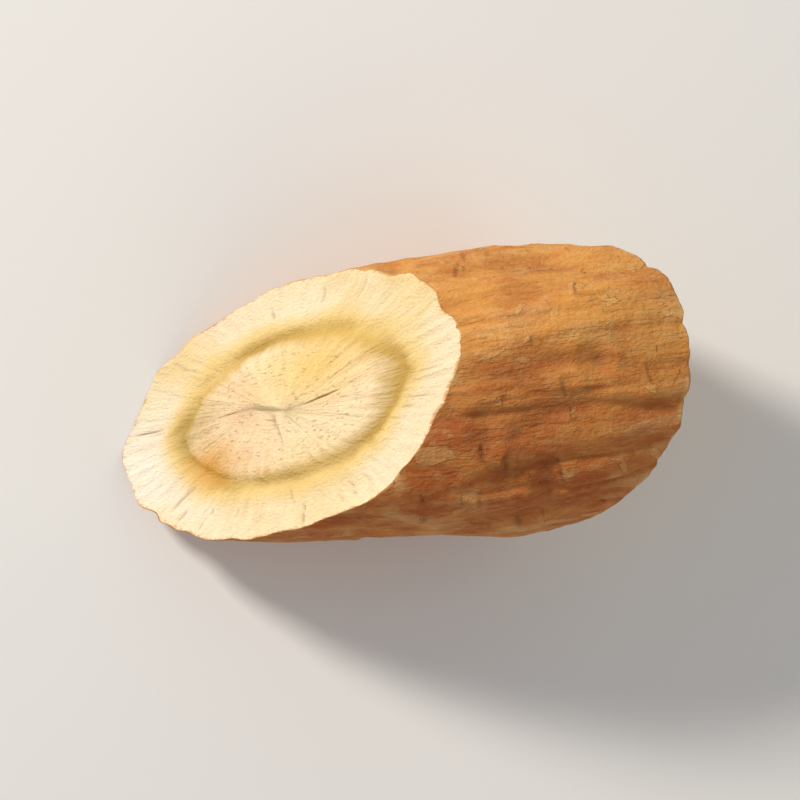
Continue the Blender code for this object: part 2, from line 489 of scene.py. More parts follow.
def lenticels(angle, along, count):
    """Relief of the corky warts, and how dark each place is for them."""
    random = np.random.default_rng(7)
    ragged = soft_noise(bark_place(angle, along) / 0.11, 29)
    relief, mark = np.zeros_like(along), np.zeros_like(along)
    for _ in range(count):
        around = random.uniform(0.0, 360.0)
        height_share = 0.5 + 0.5 * math.sin(math.radians(around))
        place = random.uniform(*(np.interp(height_share, (0.0, 1.0), ends) for ends in LENTICEL_REACH))
        strength = random.uniform(0.25, 1.0)
        width = random.uniform(*LENTICEL_WIDTHS) * (0.5 + 0.5 * strength)
        height = random.uniform(*LENTICEL_HEIGHTS)
        across = turn_from(angle, around) * MEAN_RADIUS
        off = along - place - random.uniform(-0.25, 0.25) * across
        away = np.hypot(across / width, off / height) + 0.30 * ragged
        slit = bell(off / (0.45 * height)) * bell((across / width) ** 2)
        relief += strength * (LENTICEL_LIP * bell((away - 1.2) / 0.7) - LENTICEL_SLIT * slit)
        mark = np.maximum(mark, strength * (0.35 * smooth_step(1.5 - away, 0.0, 0.6) + 0.50 * slit))
    return relief, mark


def stains_and_shade(angle, along):
    """How brown the bark is: the stains seen on the real piece, some of them also painted shade, and a
    browner side that is painted shade with a brown tint.
    """
    ragged = soft_noise(bark_place(angle, along) / np.array((0.55, 0.28, 0.28)), 31)
    # Painted shade with a brown tint on the side that turns away from the key light.
    direction, reach, most = BROWN_SHADED_SIDE
    stain_and_shade = most * bell(turn_from(angle, direction) / math.radians(reach)) * (0.85 + 0.4 * ragged)
    for place, around, half_length, half_width, strength in STAINS_AND_SHADE:
        across = turn_from(angle, around) * MEAN_RADIUS / half_width
        away = np.hypot(across, (along - place) / half_length) + 0.35 * ragged
        stain_and_shade = np.maximum(stain_and_shade, strength * (1.0 - smooth_step(away, 0.55, 1.35)))
    return np.clip(stain_and_shade, 0.0, 1.0)


def bark_surface(angle, along, shape):
    """How far the bark stands out from its mean girth, in millimetres, and what its material needs to
    know: how much painted shade each hollow gets, how strongly a wart or a scar marks it, and how brown
    stains and painted shade make it."""
    place = bark_place(angle, along)
    sway = CREASE_SWAY * soft_noise(place / SWAY_SIZE, 5)
    swayed = place + sway[..., None] * np.array((0.4, 1.0, 1.0))
    furrow = furrows(angle, along)
    # Painted shade: the furrows and creases are darkened by their depth.
    hollow_shade = FURROW_DARKNESS * furrow
    scar_relief, scar_mark = rootlet_scars(angle, along)
    relief = scar_relief + lobes(angle, along) - furrow - shoulder(angle, along)
    patch = smooth_step(soft_noise(place / np.array(PATCH_SIZE), 3), -0.55, 0.55)
    for length, width, depth, seed in CREASES:
        crease = creases(swayed, length, width, seed) * (0.40 + 0.60 * patch)
        relief = relief - shape.crease_share * depth * (crease - CREASE_MEAN)
        hollow_shade = hollow_shade + CREASE_DARKNESS * depth * crease ** 3
    length, width, depth, seed = CROSS_CREASES
    crease = creases(swayed, length, width, seed) * smooth_step(soft_noise(place / 1.5, 8), 0.0, 0.7)
    relief = relief - shape.crease_share * depth * crease
    hollow_shade = hollow_shade + CROSS_DARKNESS * depth * crease
    for length, width, depth, seed in (LUMPS, GRAIN):
        relief = relief + depth * soft_noise(swayed / np.array((length, width, width)), seed)
    wart_relief, wart_mark = lenticels(angle, along, shape.lenticel_count)
    relief = relief + wart_relief
    facts = {
        "hollow_shade": np.clip(hollow_shade - HOLLOW_SHADE_START, 0.0, 1.0),
        "mark": np.maximum(wart_mark, 0.6 * scar_mark),
        "stain_and_shade": stains_and_shade(angle, along),
    }
    return relief * flat_smoothing(angle), facts


def middle(along):
    """Middle of the root's section: it bows a little across, and its underside arches a little."""
    across = -BOW_ACROSS * (1.0 + np.cos(np.pi * (along - 3.0) / 9.0)) / 2
    arch = ARCH_HEIGHT * bell((along - ARCH_AT) / ARCH_REACH)
    return across, ROOT_HEIGHT / 2 * girth(along) - FLAT_DEPTH + arch


def section_point(angle, along, relief, share=1.0):
    """Point of the section at this share of the radius, cut off flat at the resting surface."""
    middle_y, middle_z = middle(along)
    inner = relief * share ** 2
    y = (ROOT_WIDTH / 2 * girth(along) + inner) * np.cos(angle)
    z = (ROOT_HEIGHT / 2 * girth(along) + inner) * np.sin(angle)
    return middle_y + share * y, middle_z + share * np.maximum(z, -middle_z)


MIDDLE_HEIGHT = float(middle(np.array(0.0))[1])


def near_cut(y, z):
    return NEAR_LEAN_Y * y + NEAR_LEAN_Z * (z - MIDDLE_HEIGHT)


def far_cut(y, z):
    height = z - MIDDLE_HEIGHT
    bend = FAR_TURN_SOFTNESS * np.log1p(np.exp(height / FAR_TURN_SOFTNESS))
    lean = FAR_LEAN_BELOW * height + (FAR_LEAN_ABOVE - FAR_LEAN_BELOW) * bend
    return AXIS_LENGTH + FAR_LEAN_Y * y + lean


def broad_relief(angle, along):
    """The bark's relief without its fine detail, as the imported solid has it."""
    raised = rootlet_scars(angle, along)[0] + lobes(angle, along)
    return (raised - furrows(angle, along) - shoulder(angle, along)) * flat_smoothing(angle)


def rim_place(cut, start):
    """How far along the root its bark meets a cut, found by stepping to and fro between the two."""
    along = np.full(SEGMENTS_ROUND, start)
    for _ in range(40):
        along = 0.5 * along + 0.5 * cut(*section_point(ANGLES, along, broad_relief(ANGLES, along)))
    return along


def face_relief(angle, share):
    """Broad height of a cut face over its plane: a domed, rayed core, a sunken ring, a sagging band."""
    core = np.where(share < RING_AT, CORE_RISE * (1.0 - (share / RING_AT) ** 2), 0.0)
    sag = np.sin(np.pi * (share - RING_AT) / (1.0 - RING_AT))
    band = np.where(share > RING_AT, -BAND_SAG * sag, 0.0)
    ring = -RING_DEPTH * bell((share - RING_AT) / RING_WIDTH)
    rays = RAY_DEPTH * np.cos(CORE_RAYS * angle) * bell((share - RAYS_AT) / RAYS_REACH)
    return core + band + ring + rays


def face_place(angle, share):
    """Place on a cut face in millimetres, seen along the root, halfway between the noise's cells."""
    y = share * np.cos(angle) * MEAN_RADIUS
    z = share * np.sin(angle) * MEAN_RADIUS
    return np.stack((np.full_like(y, 0.5), y, z), axis=-1)


def crack_depth(angle, share, seed):
    """Depth of the drying cracks, which run outward, wander a little and close at both ends."""
    random = np.random.default_rng(seed)
    wander = CRACK_WANDER * soft_noise(face_place(angle, share) / WANDER_SIZE, seed)
    depth = np.zeros_like(share)
    for number in range(BAND_CLEFTS + CORE_CHECKS):
        around = random.uniform(0.0, 360.0)
        length = random.uniform(*CLEFT_LENGTHS)
        first = random.uniform(RING_AT + 0.06, 0.99 - length)
        if number >= BAND_CLEFTS:
            first, length = random.uniform(*CHECK_STARTS), random.uniform(*CHECK_LENGTHS)
        half_width = random.uniform(*CLEFT_HALF_WIDTHS)
        strength = random.uniform(0.20, 1.0) ** 1.5
        along = np.clip((share - first) / length, 0.0, 1.0)
        opened = np.sqrt(4.0 * along * (1.0 - along))
        across = turn_from(angle, around) * share * MEAN_RADIUS + wander
        crack_shade = bell(across / (half_width * (0.5 + 0.5 * opened)))
        depth = np.maximum(depth, CLEFT_DEPTH * strength * opened * crack_shade)
    return depth


def knife_texture(angle, share, seed):
    """Fine relief of a knife-cut face: rays, crumbs, swells and the ridges that the blade left."""
    turns = np.stack((np.cos(angle), np.sin(angle), share * 0.3), axis=-1)
    place = face_place(angle, share)
    rays = soft_noise(turns * RAYS_ROUND[0], seed)
    fine_rays = soft_noise(turns * RAYS_ROUND[1], seed + 1)
    crumb = soft_noise(place / CRUMB_SIZE, seed + 2)
    swell = soft_noise(place / SWELL_SIZE, seed + 3)
    blade_way = KNIFE_WAY[0] * place[..., 1] + KNIFE_WAY[1] * place[..., 2] + 0.15 * swell
    blade = np.sin(2 * np.pi * blade_way / KNIFE_MARKS_APART) * (0.5 + 0.5 * swell)
    in_band = smooth_step(share, RING_AT - 0.05, RING_AT + 0.12)
    ray_depth = RAY_RELIEF * (0.6 + 0.9 * in_band)
    relief = ray_depth * (rays + 0.5 * fine_rays) + CRUMB_RELIEF * crumb + SWELL_RELIEF * swell
    return (relief + KNIFE_MARK_DEPTH * blade) * smooth_step(share, 0.0, 0.10)


def snapped_texture(angle, share):
    """Rough, stepped relief of the part of the far cut that broke, and how much of it is broken."""
    place = face_place(angle, share)
    edge = SNAP_STRAY * soft_noise(place / 0.9, 71)
    broken = 1.0 - smooth_step(place[..., 2] + edge, *SNAP_ENDS)
    clumps = soft_noise(place / 0.60, 73) + 0.5 * soft_noise(place / 0.33, 77)
    stubs = soft_noise(place / 0.17, 79)
    steps = np.round(clumps * SNAP_STEPS) / SNAP_STEPS
    relief = SNAP_ROUGHNESS * (0.8 * steps + 0.2 * clumps + 0.5 * np.maximum(stubs, 0.0))
    return broken * (1.0 - 0.6 * bell((share - 1.0) / 0.05)) * relief, broken


# What the bark's and the cut faces' materials need to know at each point, beside its place.
BARK_FACTS = ("hollow_shade", "mark", "stain_and_shade", "from_cut")
FACE_FACTS = ("crack_shade", "broken")

# The two ends: the cut's rule, which way it faces, and the seed of its texture.
NEAR_END = (near_cut, -1.0, 83)
FAR_END = (far_cut, 1.0, 97)


def face_shares(rings):
    """Shares from 0 to 1 for the rings of a cut face, closest at the growth ring and the rim."""
    fine = np.linspace(0.0, 1.0, 2001)
    density = 0.75 + 1.1 * bell((fine - RING_AT) / 0.07) + 0.9 * bell((fine - 1.0) / 0.12)
    grown = np.cumsum(density)
    return np.interp(np.linspace(grown[0], grown[-1], rings + 1), grown, fine)


def face_patch(end, rim, relief, shares, chips):
    """Points over a cut face in millimetres, ring by ring from the middle out, and what its material
    needs to know: how far each is cracked open, for the painted shade in the cracks, and how far it is
    broken off."""
    cut, outward, seed = end
    share = shares[:, None] * (1.0 - chips / MEAN_RADIUS)
    angle = np.broadcast_to(ANGLES, share.shape)
    y, z = section_point(angle, rim, relief, share)
    depth = crack_depth(angle, share, seed)
    rise = face_relief(angle, share) - depth
    broken = np.zeros_like(share)
    if end is FAR_END:
        snap, broken = snapped_texture(angle, share)
        rise = rise + snap
    rise = rise + knife_texture(angle, share, seed) * (1.0 - broken)
    return {
        "points": np.stack((cut(y, z) + outward * rise, y, z), axis=-1),
        "place": face_place(angle, share) + rim[:, None] * np.array((1.0, 0.0, 0.0)),
        "crack_shade": np.clip(depth / (0.8 * CLEFT_DEPTH), 0.0, 1.0),
        "broken": broken,
    }


def bark_patch(near_rim, far_rim, chips, shape):
    """Points over the bark in millimetres, ring by ring from the near cut to the far one, with what its
    material needs to know."""
    step = np.linspace(0.0, 1.0, BARK_RINGS + 1)[:, None]
    along = near_rim + chips[0] + step * (far_rim - near_rim - chips[0] - chips[1])
    angle = np.broadcast_to(ANGLES, along.shape)
    relief, facts = bark_surface(angle, along, shape)
    y, z = section_point(angle, along, relief)
    facts["from_cut"] = np.minimum(along - near_rim, far_rim - along) - 0.6 * RIM_ROUNDING
    return {"points": np.stack((along, y, z), axis=-1), "place": bark_place(angle, along), **facts}


def rim_patch(end, rim, relief, face_row, bark_row):
    """Rows that round the rim over from a cut face's last ring to the bark's first one."""
    y, z = section_point(ANGLES, rim, relief)
    corner = np.stack((end[0](y, z), y, z), axis=-1)
    turn = (np.arange(1, RIM_RINGS) / RIM_RINGS)[:, None, None]
    points = (1 - turn) ** 2 * face_row["points"] + 2 * turn * (1 - turn) * corner
    made = {"points": points + turn ** 2 * bark_row["points"]}
    made["place"] = (1 - turn) * face_row["place"] + turn * bark_row["place"]
    for name in BARK_FACTS:
        made[name] = np.repeat(bark_row[name][None], RIM_RINGS - 1, axis=0)
    for name in FACE_FACTS:
        made[name] = (1 - turn[..., 0]) * face_row[name]
    return made


def rim_chips(rim, seed):
    """How far the rim is rounded over at each angle: a little all round, and more where it chipped."""
    place = bark_place(ANGLES, rim)
    chipped = smooth_step(soft_noise(place / 0.45, seed), 0.25, 0.85)
    return RIM_ROUNDING * (0.62 + 0.25 * soft_noise(place / 0.22, seed + 1)) + CHIP_DEPTH * chipped


def skin_patches(shape):
    """The root's skin as patches of rings, from the near cut over the bark to the far cut, and how far
    along the root each rim is."""
    rims = (rim_place(near_cut, 0.0), rim_place(far_cut, AXIS_LENGTH))
    chips = (rim_chips(rims[0], 101), rim_chips(rims[1], 107))
    bark = bark_patch(*rims, chips, shape)
    patches = [bark]
    for end, rim, edge, rings, row in (
        (NEAR_END, rims[0], chips[0], NEAR_RINGS, 0),
        (FAR_END, rims[1], chips[1], FAR_RINGS, -1),
    ):
        relief = bark_surface(ANGLES, rim, shape)[0]
        face = face_patch(end, rim, relief, face_shares(rings), edge)
        last_row = {name: values[-1] for name, values in face.items()}
        bark_row = {name: values[row] for name, values in bark.items()}
        patches += [face, rim_patch(end, rim, relief, last_row, bark_row)]
    bark, near_face, near_rim, far_face, far_rim = patches
    backward = [{name: values[::-1] for name, values in patch.items()} for patch in (far_rim, far_face)]
    return [near_face, near_rim, bark] + backward, rims


def skin_faces(rings):
    """Quads between the rings, and a fan of triangles at each end, as vertex numbers facing outward.
    The first and last rings are one vertex each."""
    here = np.arange(SEGMENTS_ROUND)
    after = (here + 1) % SEGMENTS_ROUND
    first = 1 + SEGMENTS_ROUND * np.arange(rings - 3)[:, None]
    second = first + SEGMENTS_ROUND
    quads = np.stack((first + after, first + here, second + here, second + after), axis=-1)
    end = 1 + SEGMENTS_ROUND * (rings - 2)
    last = end - SEGMENTS_ROUND
    near_fan = np.stack((np.zeros_like(here), 1 + here, 1 + after), axis=-1)
    far_fan = np.stack((np.full_like(here, end), last + after, last + here), axis=-1)
    return near_fan.tolist() + quads.reshape(-1, 4).tolist() + far_fan.tolist()


def add_fibres(bm, shape, far_rim, shift):
    """Torn bast fibres that stand out of the snapped part of the far cut, added to the root's mesh."""
    random = np.random.default_rng(19)
    curve = bpy.data.curves.new("torn fibres", "CURVE")
    curve.dimensions = "3D"
    curve.bevel_depth = FIBRE_RADIUS * MM
    curve.bevel_resolution = 0
    curve.use_fill_caps = True
    for _ in range(shape.fibre_count):
        segment = int(SEGMENTS_ROUND * random.uniform(*FIBRE_ARC))
        share = math.sqrt(random.uniform(*FIBRE_SHARES))
        angle, rim = ANGLES[segment:segment + 1], far_rim[segment:segment + 1]
        y, z = section_point(angle, rim, broad_relief(angle, rim), share)
        foot = Vector((np.array((far_cut(y, z)[0], y[0], z[0])) + shift) * MM)
        outward = Vector((1.0, random.normal(0.0, 0.30), random.normal(0.05, 0.28))).normalized()
        bend = Vector((0.0, random.normal(0.0, 0.32), random.normal(0.0, 0.32)))
        length = shape.fibre_length * random.uniform(0.25, 1.0) ** 1.5
        spline = curve.splines.new("POLY")
        spline.points.add(FIBRE_POINTS - 1)
        for number, point in enumerate(spline.points):
            part = number / (FIBRE_POINTS - 1)
            place = foot + outward * length * (part - 0.22) + bend * length * part ** 2
            place.z = max(place.z, 0.04 * MM)
            point.co = (*place, 1.0)
            point.radius = random.uniform(0.75, 1.0) * (1.0 - 0.72 * part)
    holder = bpy.data.objects.new("torn fibres", curve)
    bpy.context.scene.collection.objects.link(holder)
    depsgraph = bpy.context.evaluated_depsgraph_get()
    mesh = bpy.data.meshes.new_from_object(holder.evaluated_get(depsgraph))
    bpy.data.objects.remove(holder)
    bpy.data.curves.remove(curve)
    root_verts, root_faces = len(bm.verts), len(bm.faces)
    bm.from_mesh(mesh)
    bpy.data.meshes.remove(mesh)
    bmesh.ops.remove_doubles(bm, verts=list(bm.verts)[root_verts:], dist=0.002 * MM)
    bm.faces.ensure_lookup_table()
    for face in bm.faces[root_faces:]:
        face.material_index = FIBRE_SLOT


def root_mesh(shape):
    """The root as one mesh in metres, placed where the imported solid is."""
    patches, rims = skin_patches(shape)
    rings = sum(len(patch["points"]) for patch in patches)
    skin = {}
    for name in ("points", "place") + BARK_FACTS + FACE_FACTS:
        rows = [patch.get(name, np.zeros(patch["points"].shape[:2])) for patch in patches]
        skin[name] = np.concatenate(rows)
    low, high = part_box("root_piece")
    shift = root_shift(rims, low, high)
    points = skin["points"] + shift
    points[..., 2] = np.maximum(points[..., 2], low.z / MM)
    keep = np.ones((rings, SEGMENTS_ROUND), bool)
    keep[0, 1:] = keep[-1, 1:] = False
    mesh = bpy.data.meshes.new("cut_root")
    mesh.from_pydata(points[keep] * MM, [], skin_faces(rings))
    attribute = mesh.attributes.new("root_place", "FLOAT_VECTOR", "POINT")
    attribute.data.foreach_set("vector", skin["place"][keep].astype(np.float32).ravel())
    for name in BARK_FACTS + FACE_FACTS:
        attribute = mesh.attributes.new(name, "FLOAT", "POINT")
        attribute.data.foreach_set("value", skin[name][keep].astype(np.float32))
    first_bark = NEAR_RINGS + BARK_STARTS
    last_bark = rings - FAR_RINGS - 2 - BARK_STARTS
    ring_of_face = np.repeat(np.arange(rings - 1), SEGMENTS_ROUND)
    is_bark = (ring_of_face >= first_bark) & (ring_of_face <= last_bark)
    mesh.polygons.foreach_set("material_index", np.where(is_bark, BARK_SLOT, CUT_SLOT).astype(np.int32))
    bm = bmesh.new()
    bm.from_mesh(mesh)
    add_fibres(bm, shape, rims[1], shift)
    bm.to_mesh(mesh)
    bm.free()
    mesh.shade_smooth()
    return mesh


def root_shift(rims, low, high):
    """What brings the root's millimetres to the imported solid's place: the middle of its box, and its
    underside."""
    step = np.linspace(0.0, 1.0, 60)[:, None]
    along = rims[0] + step * (rims[1] - rims[0])
    angle = np.broadcast_to(ANGLES, along.shape)
    y, z = section_point(angle, along, broad_relief(angle, along))
    middle_x = (along.min() + along.max()) / 2
    middle_y = (y.min() + y.max()) / 2
    centre = (low + high) / 2
    return np.array((centre.x / MM - middle_x, centre.y / MM - middle_y, low.z / MM - z.min()))


def set_inputs(tree, node, inputs):
    """Sets a node's inputs, as numbers or links."""
    for name, value in inputs.items():
        if isinstance(value, bpy.types.NodeSocket):
            tree.links.new(value, node.inputs[name])
        else:
            node.inputs[name].default_value = value


def add_node(tree, kind, inputs=None, output=0, stops=(), **settings):
    """Adds a node with its settings, its inputs as numbers or links, and a ramp's stops, and gives one of
    its outputs."""
    node = tree.nodes.new(kind)
    for name, value in settings.items():
        setattr(node, name, value)
    for place, (position, colour) in enumerate(stops):
        element = node.color_ramp.elements[place] if place < 2 else node.color_ramp.elements.new(position)
        element.position = position
        element.color = colour
    set_inputs(tree, node, inputs or {})
    return node.outputs[output]


def new_material(name):
    """An empty material: its node tree and its Principled shader."""
    made = bpy.data.materials.new(name)
    made.use_nodes = True
    return made, made.node_tree, made.node_tree.nodes["Principled BSDF"]


def add_patterns(tree, place, rows):
    """Noise patterns by name. Each row holds the swells' length along and width round in millimetres,
    the detail, and the two noise values between which the pattern goes from 0 to 1."""
    made = {}
    for name, (length, width, detail, low, high) in rows.items():
        scale = (1 / length, 1 / width, 1 / width)
        stretched = add_node(tree, VECTOR, {0: place, 1: scale}, operation="MULTIPLY")
        swells = {"Vector": stretched, "Scale": 1.0, "Detail": detail, "Distortion": 0.4}
        noise = add_node(tree, "ShaderNodeTexNoise", swells)
        made[name] = add_node(tree, RANGE, {"Value": noise, "From Min": low, "From Max": high}, clamp=True)
    return made


def add_layers(tree, colour, layers):
    """Lays colours over a first one, each by its own factor and strength."""
    for factor, strength, tint in layers:
        weight = add_node(tree, MATH, {0: factor, 1: strength}, operation="MULTIPLY")
        mixed = {0: weight, 6: colour, 7: tint}
        colour = add_node(tree, "ShaderNodeMix", mixed, output=2, data_type="RGBA")
    return colour


def bark_material(colours):
    """Dried cork, shrunk into wrinkles: a matt golden skin with painted shade in the furrows and on its
    browner side, rubbed pale on the crests and along the cut edges, with a faint gloss where it is rubbed."""
    material, tree, shader = new_material("Dried Cork Bark")
    place = add_node(tree, STORED, output="Vector", attribute_name="root_place")
    hollow_shade, mark, stain_and_shade, from_cut = (
        add_node(tree, STORED, output="Fac", attribute_name=name) for name in BARK_FACTS
    )
    # Threads and grain are drawn coarser than the cork's own cells, which are too fine to show.
    patterns = add_patterns(tree, place, {
        "patches": (1.7, 1.0, 4.0, 0.48, 0.62),
        "blooms": (1.1, 0.7, 5.0, 0.50, 0.68),
        "streaks": (1.8, 0.28, 4.0, 0.48, 0.72),
        "threads": (0.6, 0.090, 3.0, 0.52, 0.70),
        "grain": (0.12, 0.080, 4.0, 0.30, 0.70),
        "dust": (0.30, 0.18, 5.0, 0.45, 0.70),
        "flaked": (0.90, 0.55, 5.0, 0.625, 0.645),
    })
    edge = add_node(tree, RANGE, {"Value": from_cut, "From Min": 0.10, "From Max": 0.0}, clamp=True)
    edge = add_node(tree, MATH, {0: edge, 1: patterns["blooms"]}, operation="MULTIPLY")
    # Fine slits across the root: cells 0.17 mm long and 0.7 mm wide, of which few are marked.
    bent = add_node(tree, MATH, {0: patterns["blooms"], 1: 0.35}, operation="MULTIPLY")
    slit_place = add_node(tree, VECTOR, {0: place, 1: bent}, operation="ADD")
    slit_place = add_node(tree, VECTOR, {0: slit_place, 1: (6.0, 1.4, 1.4)}, operation="MULTIPLY")
    kind, away = (
        add_node(tree, "ShaderNodeTexVoronoi", {"Vector": slit_place, "Scale": 1.0}, output=name)
        for name in ("Color", "Distance")
    )
    few = {"Value": kind, "From Min": 0.70, "From Max": 1.0, "To Max": 0.42}
    reach = add_node(tree, RANGE, few, clamp=True)
    slits = add_node(tree, MATH, {0: reach, 1: away}, operation="SUBTRACT")
    slits = add_node(tree, RANGE, {"Value": slits, "From Max": 0.12}, clamp=True)
    crests = add_node(tree, RANGE, {"Value": hollow_shade, "From Min": 0.22, "From Max": 0.0}, clamp=True)
    worn = add_node(tree, MATH, {0: crests, 1: patterns["blooms"]}, operation="MULTIPLY")
    colour = add_layers(tree, colours.bark, [
        (patterns["patches"], 0.40, colours.bark_brown),
        # Stains, partly painted shade, and the browner side, which is painted shade.
        (stain_and_shade, 0.90, colours.bark_brown),
        (worn, 0.40, colours.bark_worn),
        (patterns["streaks"], 0.24, colours.bark_brown),
        (patterns["threads"], 0.16, colours.bark_furrow_shade),
        (patterns["dust"], 0.22, colours.bark_worn),
        (patterns["flaked"], 0.30, colours.bark_worn),
        # Painted shade in the furrows and creases.
        (hollow_shade, 0.47, colours.bark_furrow_shade),
        (slits, 0.30, colours.lenticel),
        (mark, 0.55, colours.lenticel),
        (edge, 0.60, colours.bark_worn),
    ])
    roughness = add_node(tree, RANGE, {"Value": worn, "To Min": 0.78, "To Max": 0.56}, clamp=True)
    threads = add_node(tree, MATH, {0: patterns["threads"], 1: 0.7}, operation="MULTIPLY")
    height = patterns["grain"]
    for hollowed in (threads, slits, patterns["flaked"]):
        height = add_node(tree, MATH, {0: height, 1: hollowed}, operation="SUBTRACT")
    bump = add_node(tree, "ShaderNodeBump", {"Height": height, "Distance": BARK_BUMP * MM})
    set_inputs(tree, shader, {
        "Base Color": colour,
        "Roughness": roughness,
        "Normal": bump,
        "IOR": 1.46,
        "Specular IOR Level": 0.42,
    })
    return material


def cut_material(colours):
    """Knife-cut dried root: a chalky cream band round a darker ring and a straw core, a little
    translucent, with rays that run out from the middle, fine pores and painted shade in its cracks."""
    material, tree, shader = new_material("Knife Cut Starchy Root")
    place = add_node(tree, STORED, output="Vector", attribute_name="root_place")
    crack_shade, broken = (
        add_node(tree, STORED, output="Fac", attribute_name=name) for name in FACE_FACTS
    )
    section = add_node(tree, VECTOR, {0: place, 1: (0.0, 1.0, 1.0)}, operation="MULTIPLY")
    radius = add_node(tree, VECTOR, {0: section}, output="Value", operation="LENGTH")
    direction = add_node(tree, VECTOR, {0: section}, operation="NORMALIZE")
    # Crumbs are drawn coarser than the starch grains, which are too fine to show.
    patterns = add_patterns(tree, section, {
        "drift": (1.0, 1.3, 3.0, 0.30, 0.70),
        "clouds": (1.0, 0.85, 4.0, 0.42, 0.68),
        "blush": (1.0, 1.6, 2.0, 0.46, 0.62),
        "fade": (1.0, 2.3, 3.0, 0.48, 0.66),
        "crumb": (1.0, 0.07, 3.0, 0.35, 0.65),
        "pits": (1.0, 0.085, 1.0, 0.62, 0.72),
    })
    # Rays: the direction from the middle is laid on a wide circle, so that the noise swells many times.
    ray_place = add_node(tree, VECTOR, {0: direction, 1: (17.0,) * 3}, operation="MULTIPLY")
    ray_place = add_node(tree, VECTOR, {0: ray_place, 1: section}, operation="ADD")
    rays = add_node(tree, "ShaderNodeTexNoise", {"Vector": ray_place, "Scale": 1.0, "Detail": 4.0})
    rays = add_node(tree, RANGE, {"Value": rays, "From Min": 0.40, "From Max": 0.72}, clamp=True)
    swayed = {"Value": patterns["drift"], "To Min": -0.16, "To Max": 0.16}
    wobble = add_node(tree, RANGE, swayed, clamp=False)
    ray_push = add_node(tree, MATH, {0: rays, 1: 0.09}, operation="MULTIPLY")
    wobble = add_node(tree, MATH, {0: wobble, 1: ray_push}, operation="ADD")
    zone = add_node(tree, MATH, {0: radius, 1: wobble}, operation="ADD")
    zone = add_node(tree, MATH, {0: zone, 1: MEAN_RADIUS}, operation="DIVIDE")
    colour = add_node(
        tree, "ShaderNodeValToRGB", {"Fac": zone},
        stops=[
            (0.0, colours.core),
            (1.0, colours.band),
            (RING_AT - 0.125, colours.core),
            (RING_AT - 0.030, colours.ring),
            (RING_AT + 0.010, colours.ring),
            (RING_AT + 0.085, colours.band_inner),
            (RING_AT + 0.20, colours.band),
        ],
    )
    shares = [
        {"Value": zone, "From Min": RING_AT + first, "From Max": RING_AT + last}
        for first, last in ((-0.03, -0.17), (0.13, 0.02), (0.10, 0.25))
    ]
    inside, in_ring, outside = (add_node(tree, RANGE, share, clamp=True) for share in shares)
    near_ring = add_node(tree, MATH, {0: 1.0, 1: inside}, operation="SUBTRACT")
    tints = {}
    for name, (spot, reach) in TINTS.items():
        away = add_node(tree, VECTOR, {0: section, 1: spot}, output="Value", operation="DISTANCE")
        fading = {"Value": away, "From Min": reach, "From Max": TINT_FULL}
        tints[name] = add_node(tree, RANGE, fading, clamp=True)
    blush, pits, faded, deep, bloom_highlight = (
        add_node(tree, MATH, {0: pattern, 1: where}, operation="MULTIPLY")
        for pattern, where in (
            (patterns["blush"], inside),
            (patterns["pits"], inside),
            (patterns["fade"], near_ring),
            (tints["deep"], in_ring),
            (tints["bloom_highlight"], outside),
        )
    )
    colour = add_layers(tree, colour, [
        (faded, 0.60, colours.band_inner),
        (tints["faint"], 0.45, colours.band_inner),
        # Painted highlight on the band towards its lower, -Y rim.
        (bloom_highlight, 0.90, colours.band_highlight),
        (blush, 0.60, colours.core_blush),
        (deep, 0.62, colours.ring_deep),
        (tints["amber"], 0.80, colours.core_amber),
        (tints["yellow"], 0.74, colours.core_yellow),
        (patterns["clouds"], 0.16, colours.band_inner),
        (rays, 0.16, colours.ring),
        (pits, 0.45, colours.ring),
        (broken, 0.35, colours.fibre),
        # Painted shade in the drying cracks.
        (crack_shade, 0.60, colours.bark_furrow_shade),
    ])
    ragged = add_node(tree, MATH, {0: patterns["crumb"], 1: 0.05}, operation="MULTIPLY")
    skin = add_node(tree, MATH, {0: radius, 1: ragged}, operation="ADD")
    outermost = {"Value": skin, "From Min": 0.990 * MEAN_RADIUS, "From Max": MEAN_RADIUS}
    cork = add_node(tree, RANGE, outermost, clamp=True)
    colour = add_layers(tree, colour, [(cork, 0.7, colours.bark)])
    dry = {"Value": patterns["crumb"], "To Min": 0.72, "To Max": 0.88}
    roughness = add_node(tree, RANGE, dry, clamp=True)
    height = add_node(tree, MATH, {0: patterns["crumb"], 1: rays}, operation="ADD")
    height = add_node(tree, MATH, {0: height, 1: pits}, operation="SUBTRACT")
    bump = add_node(tree, "ShaderNodeBump", {"Height": height, "Distance": CUT_BUMP * MM})
    set_inputs(tree, shader, {
        "Base Color": colour,
        "Roughness": roughness,
        "Normal": bump,
        "IOR": 1.50,
        "Specular IOR Level": 0.30,
        "Subsurface Weight": 0.18,
        "Subsurface Radius": (1.0, 0.62, 0.30),
        "Subsurface Scale": 0.3 * MM,
    })
    return material


def fibre_material(colours):
    """Torn bast fibre: pale, dry and matt, with yellower stretches."""
    material, tree, shader = new_material("Torn Bast Fibre")
    place = add_node(tree, "ShaderNodeTexCoord", output="Object")
    along = add_node(tree, VECTOR, {0: place, 1: (1 / MM,) * 3}, operation="MULTIPLY")
    patterns = add_patterns(tree, along, {"shades": (0.5, 0.09, 3.0, 0.35, 0.65)})
    colour = add_layers(tree, colours.fibre, [(patterns["shades"], 0.55, colours.band_inner)])
    shades = {"Height": patterns["shades"], "Distance": FIBRE_BUMP * MM}
    bump = add_node(tree, "ShaderNodeBump", shades)
    set_inputs(tree, shader, {"Base Color": colour, "Roughness": 0.7, "Normal": bump, "IOR": 1.5})
    return material


